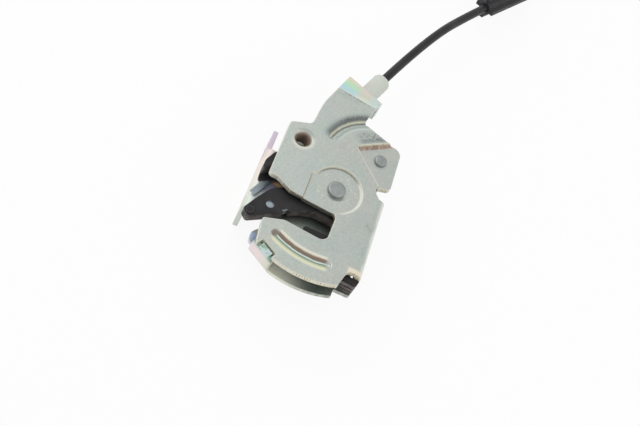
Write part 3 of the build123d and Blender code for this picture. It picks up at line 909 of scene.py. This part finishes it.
@dataclass(frozen=True)
class Plastic:
    """A moulded plastic or rubber finish."""

    name: str
    base: tuple
    dust_and_sheen: tuple
    roughness: float
    grain: float
    specular: float = 0.35
    subsurface: float = 0.0
    edge_width: float = 0.35
    marks: tuple = ()

    def material(self, drawing: Drawing) -> bpy.types.Material:
        """Builds the node tree.

        Args:
            drawing: places the marks.

        Returns:
            The finished material.
        """
        on = Surface(self.name, drawing)
        fine = on.grain(self.grain, 5.0)
        rounded, wear_and_light = on.edges(self.edge_width)
        cloudy = on.spread(on.grain(self.grain * 0.12, 3.0), 0.45, 0.75, 0.0, 0.7)
        # dust clouds, and a painted highlight on sharp edges in the dust tone
        dust_and_edge_sheen = on.math("MAXIMUM", cloudy, on.math("MULTIPLY", wear_and_light, 0.6))
        on.colour = on.mix(dust_and_edge_sheen, tone(*self.base), tone(*self.dust_and_sheen))
        on.roughness = on.spread(fine, 0.0, 1.0, self.roughness - 0.06, self.roughness + 0.1)
        for mark in self.marks:
            mark.paint(on)
        return on.finish(fine, rounded, 0.25, 0.04, {
            "Specular IOR Level": self.specular, "Subsurface Weight": self.subsurface,
            "Subsurface Radius": (0.002, 0.0016, 0.001), "Subsurface Scale": 1.0})


FINISHES = {
    Slot.PLATE: Metal("zinc_plate", (197, 202, 197), (189, 198, 194), (230, 231, 220), rainbow=0.16,
                      edge_width=0.7, edge_amount=0.8, under=(CutEdges(),), marks=PLATE_MARKS),
    Slot.BACK: Metal("zinc_back", (158, 165, 158), (134, 143, 138), (226, 228, 218),
                     roughness=0.32, rainbow=0.3, marks=(BackMarks(),)),
    Slot.RIVET: Metal("rivet", (168, 174, 173), (146, 152, 150), (206, 208, 200), cloud=300.0,
                      marks=(RivetHead((0.0, 0.0), 4.6, 1.15), RivetHead((15.3, 27.2), 3.3, 0.95))),
    Slot.BUSH: Metal("bush", (178, 163, 118), (150, 132, 90), (214, 200, 160)),
    Slot.FORK: Metal("fork_steel", (166, 176, 184), (140, 150, 158), (206, 214, 220), rainbow=0.1),
    Slot.PAWL: Metal("pawl_steel", (158, 162, 158), (132, 136, 130), (200, 200, 190), rainbow=0.1),
    Slot.SPRING: Metal("spring_steel", (132, 136, 142), (100, 104, 110), (190, 196, 204),
                       under=(SideShading((44, 46, 50)),)),
    Slot.WIRE: Metal("wire", (182, 182, 178), (150, 150, 146), (210, 210, 206)),
    Slot.CAST: Metal("zinc_cast", (170, 170, 168), (146, 146, 144), (204, 204, 200), roughness=0.5),
    Slot.COVER: Plastic("cover_plastic", (26, 26, 29), (52, 48, 48), 0.42, 900.0,
                        marks=(SideShading((112, 104, 101)), FORK_BOSS)),
    Slot.RUBBER: Plastic("rubber", (30, 30, 31), (58, 55, 53), 0.55, 1400.0,
                         marks=(SideShading((112, 108, 106)),)),
    Slot.NYLON: Plastic("nylon", (202, 207, 199), (194, 196, 186), 0.38, 500.0, subsurface=0.2),
    Slot.SHEATH: Plastic("sheath", (28, 28, 31), (50, 50, 54), 0.36, 700.0),
    Slot.SLEEVE: Plastic("sleeve", (40, 40, 43), (62, 62, 64), 0.45, 900.0),
}


# ---------------------------------------------------------------------- pieces
def new_object(name: str, data: bpy.types.ID) -> bpy.types.Object:
    """Makes an object.

    Args:
        name: the object's name.
        data: its mesh, curve, light or camera.

    Returns:
        The new object, linked to the scene.
    """
    item = bpy.data.objects.new(name, data)
    bpy.context.scene.collection.objects.link(item)
    return item


def new_curve(name: str, points: list, radius: float) -> bpy.types.Object:
    """Makes a round tube on one open NURBS spline.

    Args:
        name: the object's name.
        points: control points in metres.
        radius: tube radius in metres.

    Returns:
        The curve object.
    """
    data = bpy.data.curves.new(name, "CURVE")
    data.dimensions = "3D"
    spline = data.splines.new("NURBS")
    spline.points.add(len(points) - 1)
    for target, point in zip(spline.points, points):
        target.co = (*point, 1.0)
    spline.order_u = 3
    spline.use_endpoint_u = True
    spline.resolution_u = 12
    data.bevel_depth = radius
    data.bevel_resolution = 6
    data.use_fill_caps = True
    return new_object(name, data)


def plain_mesh(source: bpy.types.Object) -> bpy.types.Mesh:
    """Turns an object into a mesh.

    Args:
        source: the object, which is removed.

    Returns:
        Its evaluated mesh.
    """
    bpy.context.view_layer.update()
    graph = bpy.context.evaluated_depsgraph_get()
    mesh = bpy.data.meshes.new_from_object(source.evaluated_get(graph))
    bpy.data.objects.remove(source)
    return mesh


def mesh_of(name: str, build: bmesh.types.BMesh) -> bpy.types.Mesh:
    """Turns what was built into a mesh.

    Args:
        name: the mesh's name.
        build: holds the geometry, and is freed.

    Returns:
        The mesh.
    """
    mesh = bpy.data.meshes.new(name)
    build.to_mesh(mesh)
    build.free()
    return mesh


def join_rows(build: bmesh.types.BMesh, here: list, there: list) -> None:
    """Makes a band of four-sided faces between two closed rows of points.

    Args:
        build: takes the faces.
        here, there: the rows, with the same number of points.
    """
    for index, point in enumerate(here):
        after = (index + 1) % len(here)
        build.faces.new((point, here[after], there[after], there[index]))


def finish_piece(name: str, mesh: bpy.types.Mesh, materials: dict, slot: Slot,
                 replaced: tuple = (), body: str = "base") -> None:
    """Links a finished mesh as a piece that rides on a body.

    Args:
        name: the piece's name.
        mesh: its mesh, in the frame.
        materials: the materials by slot.
        slot: the slot of its only material.
        replaced: CAD nodes that it stands for.
        body: the body that it rides on.
    """
    piece = new_object(name, mesh)
    mesh.materials.clear()
    mesh.materials.append(materials[slot])
    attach(piece, body)
    if replaced:
        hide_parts(*replaced)
    LOG.info("%s: %d faces", name, len(mesh.polygons))


def ease(turn: float, start: float, length: float) -> float:
    """Returns 0 to 1, eased, over a length of turns from start."""
    value = min(max((turn - start) / length, 0.0), 1.0)
    return value * value * (3 - 2 * value)


@dataclass(frozen=True)
class ReleaseCable:
    """The sheathed cable, from its ferrule to its coil and far end."""

    lean: float = 20.1
    across: float = -24.4
    level: float = -8.2
    root: float = 70.0
    straight_run: float = 46.0
    diameter: float = 4.6
    route: tuple = ((38.0, 157.0, -15.5), (66.0, 203.0, -26.0), (87.3, 229.0, -30.2))
    coil_centre: tuple = (62.0, 254.0)
    coil_radius: float = 25.3
    turns: float = 3.25
    points_per_turn: int = 14
    outward: tuple = (0.0, 0.3)
    inward: tuple = (0.95, 0.25)
    climb: tuple = (1.95, 0.3)
    tail: tuple = (-31.0, 0.0, -1.48)
    carried: tuple = ("cable_sleeve", "far_ferrule", "far_wire", "far_nipple", "cable_ferrule")

    def axis(self, drawing: Drawing, distance: float) -> Vector:
        """Finds a point on the ferrule's axis.

        Args:
            drawing: turns millimetres into the frame.
            distance: how far along the axis it is from the pivot.

        Returns:
            The point, in metres.
        """
        s, c = math.sin(math.radians(self.lean)), math.cos(math.radians(self.lean))
        return drawing.point(s * distance + c * self.across, c * distance - s * self.across,
                             self.level)

    def coil(self, drawing: Drawing, floor: float) -> list:
        """Lays the turns: two side by side on the floor, the rest on top.

        Args:
            drawing: turns millimetres into the frame.
            floor: the floor's level in drawing millimetres.

        Returns:
            Control points in metres.
        """
        radius = self.diameter / 2
        x, y = self.coil_centre
        points = []
        for index in range(1, round(self.turns * self.points_per_turn) + 1):
            turn = index / self.points_per_turn
            up = ease(turn, *self.climb)
            shift = ease(turn, *self.outward) - 2 * ease(turn, *self.inward) + up
            ring = self.coil_radius + radius * shift
            angle = 2 * math.pi * turn
            points.append(drawing.point(x + ring * math.cos(angle), y + ring * math.sin(angle),
                                        floor + radius + 2 * radius * up))
        return points

    def build(self, drawing: Drawing, nodes: dict, materials: dict) -> None:
        """Args:
            drawing: turns millimetres into the frame.
            nodes: the CAD nodes by name; not used.
            materials: the materials by slot.
        """
        floor = -drawing.origin.z / MM
        points = [self.axis(drawing, self.root), self.axis(drawing, self.root + self.straight_run)]
        points += [drawing.point(*corner) for corner in self.route]
        points.append(drawing.point(self.coil_centre[0] + self.coil_radius, self.coil_centre[1],
                                    floor + self.diameter / 2))
        points += self.coil(drawing, floor)
        points.append(points[-1] + Vector(self.tail) * MM)
        path = plain_mesh(new_curve("cable_line", points, 0.0))
        ends = ([path.vertices[index].co for index in edge.vertices] for edge in path.edges)
        length = sum((first - last).length for first, last in ends)
        bpy.data.meshes.remove(path)
        cable = new_curve("release_cable", points, self.diameter / 2 * MM)
        cable.data.materials.append(materials[Slot.SHEATH])
        LOG.info("release_cable: %.1f mm", length / MM)
        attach(cable, "base")
        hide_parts("cable_outer", "cable_coil", "cable_tail")


@dataclass(frozen=True)
class TorsionSpring:
    """A coil of round wire with two straight legs, each a bearing and a length."""

    name: str
    node: str
    centre: tuple
    radius: float
    wire: float
    top: float
    start: float
    turns: float
    legs: tuple
    steps: int = 16

    def build(self, drawing: Drawing, materials: dict) -> None:
        """Winds the spring in place of its CAD node.

        Args:
            drawing: turns millimetres into the frame.
            materials: the materials by slot.
        """
        x, y = self.centre
        coil = []
        for index in range(round(self.turns * self.steps) + 1):
            angle = math.radians(self.start) + 2 * math.pi * index / self.steps
            coil.append(drawing.point(x + self.radius * math.cos(angle),
                                      y + self.radius * math.sin(angle),
                                      self.top - self.wire - 2 * self.wire * index / self.steps))
        ends = []
        for (bearing, length), root in zip(self.legs, (coil[0], coil[-1])):
            turn = math.radians(bearing)
            ends.append(root + Vector((math.cos(turn), math.sin(turn), 0.0)) * length * MM)
        curve = new_curve(self.name + "_path", [ends[0], *coil, ends[1]], self.wire * MM)
        finish_piece(self.name, plain_mesh(curve), materials, Slot.SPRING, (self.node,))


@dataclass(frozen=True)
class AnchorStrip:
    """Flat strip on the back plate that holds the fork spring's leg."""

    outline: tuple = ((-37.7, -14.2), (-34.3, -15.2), (-27.2, 0.6), (-30.8, 1.4))
    stations: tuple = ((0.0, 0.0), (0.62, 0.0), (0.69, -0.7), (1.0, -0.7))
    top: float = -10.4
    thickness: float = 0.8
    bevel: float = 0.18

    def build(self, drawing: Drawing, materials: dict) -> None:
        """Makes the strip with a small joggle and rounded edges.

        Args:
            drawing: turns millimetres into the frame.
            materials: the materials by slot.
        """
        low_left, low_right, high_right, high_left = (Vector(corner) for corner in self.outline)
        build = bmesh.new()
        rows = []
        for share, drop in self.stations:
            left, right = low_left.lerp(high_left, share), low_right.lerp(high_right, share)
            upper = self.top + drop
            lower = upper - self.thickness
            corners = ((left, upper), (right, upper), (right, lower), (left, lower))
            rows.append([build.verts.new(drawing.point(*at, level)) for at, level in corners])
        for here, there in zip(rows, rows[1:]):
            join_rows(build, here, there)
        build.faces.new(rows[0][::-1])
        build.faces.new(rows[-1])
        bmesh.ops.recalc_face_normals(build, faces=build.faces)
        bmesh.ops.bevel(build, geom=list(build.edges), offset=self.bevel * MM, segments=2,
                        affect="EDGES")
        finish_piece("anchor_strip", mesh_of("anchor_strip", build), materials, Slot.FORK)


@dataclass(frozen=True)
class ThreadRidges:
    """Ridges of the M8 thread, repeated down the drawn hole."""

    centre: tuple = (-24.1, 18.8)
    radius: float = 3.42
    pitch: float = 1.25
    profile: tuple = ((0.0, -0.5), (-0.4, 0.0), (0.0, 0.5))
    top: float = -1.9
    count: int = 6
    sides: int = 48

    def ridge(self) -> bpy.types.Object:
        """Makes one ridge.

        Returns:
            A ring with a pointed section.
        """
        build = bmesh.new()
        rows = []
        for step in range(self.sides):
            angle = 2 * math.pi * step / self.sides
            c, s = math.cos(angle), math.sin(angle)
            points = [((self.radius + out) * c, (self.radius + out) * s, up)
                      for out, up in self.profile]
            rows.append([build.verts.new(Vector(point) * MM) for point in points])
        for step, row in enumerate(rows):
            join_rows(build, row, rows[(step + 1) % self.sides])
        bmesh.ops.recalc_face_normals(build, faces=build.faces)
        return new_object("ridge", mesh_of("ridge", build))

    def build(self, drawing: Drawing, materials: dict) -> None:
        """Repeats the ridge with Geometry Nodes and keeps the plain mesh.

        Args:
            drawing: turns millimetres into the frame.
            materials: the materials by slot.
        """
        ridge = self.ridge()
        step = Vector((0.0, 0.0, -self.pitch * MM))
        mesh = repeat_along("thread", ridge, step, self.count, materials[Slot.PLATE])
        bpy.data.objects.remove(ridge)
        mesh.transform(Matrix.Translation(drawing.point(*self.centre, self.top)))
        finish_piece("thread_ridges", mesh, materials, Slot.PLATE)


def repeat_along(name: str, source: bpy.types.Object, offset: Vector, count: int,
                 material: bpy.types.Material) -> bpy.types.Mesh:
    """Repeats an object along a line with Geometry Nodes.

    Args:
        name: name of the node group.
        source: the object to repeat.
        offset: the step, in metres.
        count: how many there are.
        material: their material.

    Returns:
        One plain mesh of all of them.
    """
    group = bpy.data.node_groups.new(name + "_nodes", "GeometryNodeTree")
    values = (("Count", "Int", count), ("Step", "Vector", offset), ("Source", "Object", source),
              ("Finish", "Material", material))
    chosen = {}
    for label, kind, value in values:
        socket = group.interface.new_socket(label, in_out="INPUT", socket_type="NodeSocket" + kind)
        chosen[socket.identifier] = value
    group.interface.new_socket("Geometry", in_out="OUTPUT", socket_type="NodeSocketGeometry")
    given, output = (group.nodes.new("NodeGroup" + kind) for kind in ("Input", "Output"))
    line, info, instance, realize, paint = (group.nodes.new("GeometryNode" + kind) for kind in (
        "MeshLine", "ObjectInfo", "InstanceOnPoints", "RealizeInstances", "SetMaterial"))
    for start, out, end, into in (
            (given, "Count", line, "Count"), (given, "Step", line, "Offset"),
            (given, "Source", info, "Object"), (given, "Finish", paint, "Material"),
            (line, 0, instance, "Points"), (info, "Geometry", instance, "Instance"),
            (instance, 0, realize, 0), (realize, 0, paint, 0), (paint, 0, output, 0)):
        group.links.new(start.outputs[out], end.inputs[into])
    carrier = new_object(name + "_carrier", bpy.data.meshes.new(name + "_carrier"))
    modifier = carrier.modifiers.new("repeat", "NODES")
    modifier.node_group = group
    for identifier, value in chosen.items():
        modifier[identifier] = value
    mesh = plain_mesh(carrier)
    bpy.data.node_groups.remove(group)
    return mesh


def dress_nodes(frame: dict, materials: dict, sharp: float = 32.0) -> None:
    """Shades each CAD node smooth and gives it the material of its slot.

    Args:
        materials: the materials by slot.
        sharp: edges above this angle in degrees stay sharp.
    """
    slots = {part["node"]: part["material_slot"] for part in frame["record"]["subparts"]}
    for name, node in frame["nodes"].items():
        for polygon in node.data.polygons:
            polygon.use_smooth = True
        node.data.set_sharp_from_angle(angle=math.radians(sharp))
        node.data.materials.clear()
        node.data.materials.append(materials[Slot(slots[name])])
    LOG.info("dressed %d CAD nodes", len(frame["nodes"]))


SPRINGS = (
    TorsionSpring("fork_spring_wire", "fork_spring", centre=(0.0, 0.0), radius=8.0, wire=0.65,
                  top=-9.3, start=270.0, turns=1.5, legs=((250.0, 3.9), (180.0, 24.0))),
    TorsionSpring("pawl_spring_wire", "pawl_spring", centre=(15.3, 27.2), radius=5.4, wire=0.5,
                  top=-9.6, start=80.0, turns=1.83, legs=((190.0, 15.0), (262.0, 11.0))),
)


# ------------------------------------------------------------ camera and light
@dataclass(frozen=True)
class Viewpoint:
    """The camera."""

    back: tuple = (-0.09, -0.537)
    roll: float = 0.57
    distance: float = 0.6
    aim: tuple = (-3.49, -16.11, 0.0)
    image_width: int = 640
    focal_pixels: float = 600 / 0.47
    sensor: float = 36.0
    clip_start: float = 0.01

    def place(self, drawing: Drawing) -> None:
        """Adds the camera and makes it the scene's own.

        Args:
            drawing: turns the aim into the frame.
        """
        x, y = self.back
        back = Vector((x, y, math.sqrt(1 - x * x - y * y)))
        up = (Vector((0, 0, 1)) - back * back.z).normalized()
        right = up.cross(back)
        c, s = math.cos(self.roll), math.sin(self.roll)
        axes = Matrix((c * right + s * up, -s * right + c * up, back)).transposed()
        data = bpy.data.cameras.new("camera")
        data.sensor_width = self.sensor
        data.lens = self.focal_pixels / self.image_width * self.sensor
        data.clip_start = self.clip_start
        camera = new_object("camera", data)
        spot = drawing.point(*self.aim) + back * self.distance
        camera.matrix_world = Matrix.Translation(spot) @ axes.to_4x4()
        bpy.context.scene.camera = camera


@dataclass(frozen=True)
class Lamp:
    """A soft round light, placed in drawing millimetres, of a size in metres."""

    name: str
    position: tuple
    size: float
    watts: float

    def build(self, drawing: Drawing) -> None:
        """Adds the light and points it at the latch.

        Args:
            drawing: turns the position into the frame.
        """
        data = bpy.data.lights.new(self.name, "AREA")
        data.shape = "DISK"
        data.size = self.size
        data.energy = self.watts
        light = new_object(self.name, data)
        light.location = drawing.point(*self.position)
        light.rotation_mode = "QUATERNION"
        aim = drawing.origin - light.location
        light.rotation_quaternion = aim.to_track_quat("-Z", "Y")


@dataclass(frozen=True)
class Studio:
    """A pale floor under a soft tent of light."""

    sky: tuple = ((0.0, 1.0), (0.42, 1.0), (0.56, 0.92), (0.72, 0.80), (0.88, 0.70), (1.0, 0.76))
    warmth: float = 0.99
    lamps: tuple = (Lamp("key", (-420.0, 330.0, 520.0), 0.9, 1.6),
                    Lamp("fill", (480.0, -160.0, 420.0), 0.9, 0.8))
    floor_size: float = 8.0
    floor_tones: tuple = (0.86, 0.89)
    floor_white: float = 0.90
    floor_mirrored: float = 0.5

    def build(self, drawing: Drawing) -> None:
        """Adds the world, the lamps and the floor.

        Args:
            drawing: turns the lamps' places into the frame.
        """
        self.tent()
        for lamp in self.lamps:
            lamp.build(drawing)
        self.floor()
        LOG.info("studio: %d lamps", len(self.lamps))

    def tent(self) -> None:
        """Lights the world: bright low down, greyer overhead."""
        world = bpy.data.worlds.new("studio")
        bpy.context.scene.world = world
        graph = Graph(world, "ShaderNodeOutputWorld")
        direction = graph.add("ShaderNodeTexCoord").outputs["Generated"]
        upward = graph.add("ShaderNodeSeparateXYZ", {0: direction}).outputs[2]
        levels = tuple((at, (level, level, level * self.warmth)) for at, level in self.sky)
        colour = graph.ramp(graph.spread(upward, -1.0, 1.0), levels)
        background = graph.add("ShaderNodeBackground", {0: colour})
        graph.feed(graph.output, "Surface", background.outputs[0])

    def floor(self) -> None:
        """Adds the floor, white to the camera with a faint shadow."""
        bpy.ops.mesh.primitive_plane_add(size=self.floor_size, location=(0, 0, 0))
        floor = bpy.context.object
        floor.name = "studio_floor"
        graph = Graph(bpy.data.materials.new("floor"))
        paper = graph.noise(graph.add("ShaderNodeTexCoord").outputs["Object"], 3.0, 4.0)
        dull, light = self.floor_tones
        colour = graph.ramp(paper, ((0.0, (dull,) * 3), (1.0, (light,) * 3)))
        diffuse = graph.add("ShaderNodeBsdfPrincipled", {"Base Color": colour, "Roughness": 0.9})
        white = graph.add("ShaderNodeEmission", {"Color": (1.0, 1.0, 1.0), "Strength": 1.0})
        rays = graph.add("ShaderNodeLightPath").outputs
        mirrored = graph.math("MULTIPLY", rays["Is Glossy Ray"], self.floor_mirrored)
        seen = graph.math("MAXIMUM", rays["Is Camera Ray"], mirrored)
        shader = graph.add("ShaderNodeMixShader", {
            0: graph.math("MULTIPLY", seen, self.floor_white), 1: diffuse.outputs[0],
            2: white.outputs[0]})
        graph.feed(graph.output, "Surface", shader.outputs[0])
        floor.data.materials.append(graph.owner)


def main() -> None:
    """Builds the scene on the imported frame."""
    logging.basicConfig(level=logging.INFO)
    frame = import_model()
    bpy.context.scene.view_settings.view_transform = "Standard"
    drawing = Drawing()
    Viewpoint().place(drawing)
    materials = {slot: finish.material(drawing) for slot, finish in FINISHES.items()}
    ReleaseCable().build(drawing, frame["nodes"], materials)
    dress_nodes(frame, materials)
    for spring in SPRINGS:
        spring.build(drawing, materials)
    AnchorStrip().build(drawing, materials)
    ThreadRidges().build(drawing, materials)
    Studio().build(drawing)


if __name__ == "__main__":
    main()
